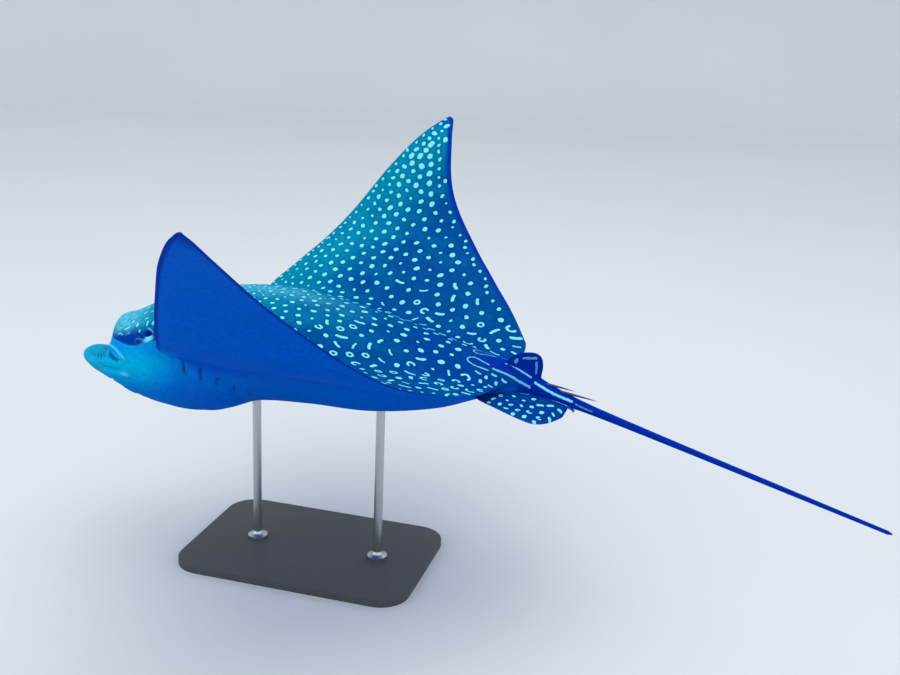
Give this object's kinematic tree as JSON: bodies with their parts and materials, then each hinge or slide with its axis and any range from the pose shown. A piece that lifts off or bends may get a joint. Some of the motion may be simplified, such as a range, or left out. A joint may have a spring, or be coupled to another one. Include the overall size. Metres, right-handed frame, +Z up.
{
  "type": "spotted eagle ray display model",
  "caption": "Life-size spotted eagle ray gliding with both wings raised and its whip tail trailing, held on two rods over a flat base.",
  "frame": {"origin": "middle of the underside of the stand's base, on the floor", "axes": "+X to the animal's left, +Y back towards the tail, +Z up"},
  "size_m": [1.3241, 1.6342, 0.8691],
  "materials": {
    "back_skin": "smooth wet skin, dark slate teal above with pale spots, white below",
    "fin_skin": "smooth wet skin, dark with pale marks",
    "tail_skin": "fine-grained skin, near black",
    "spine": "satin, bone-like",
    "eye": "gloss",
    "stand_paint": "matte powder coat",
    "stand_steel": "satin"
  },
  "bodies": {
    "root": {"snout": "back_skin", "head": "back_skin", "trunk": "back_skin", "wing_left_inner": "back_skin", "wing_left_outer": "back_skin", "wing_right_inner": "back_skin", "wing_right_outer": "back_skin", "tail_1": "tail_skin", "tail_2": "tail_skin", "tail_3": "tail_skin", "pelvic_fin_left": "fin_skin", "pelvic_fin_right": "fin_skin", "dorsal_fin": "fin_skin", "sting_spine_long": "spine", "sting_spine_short": "spine", "eye_left": "eye", "eye_right": "eye", "stand_base": "stand_paint", "stand_rod_front": "stand_steel", "stand_rod_rear": "stand_steel"}
  },
  "joints": []
}
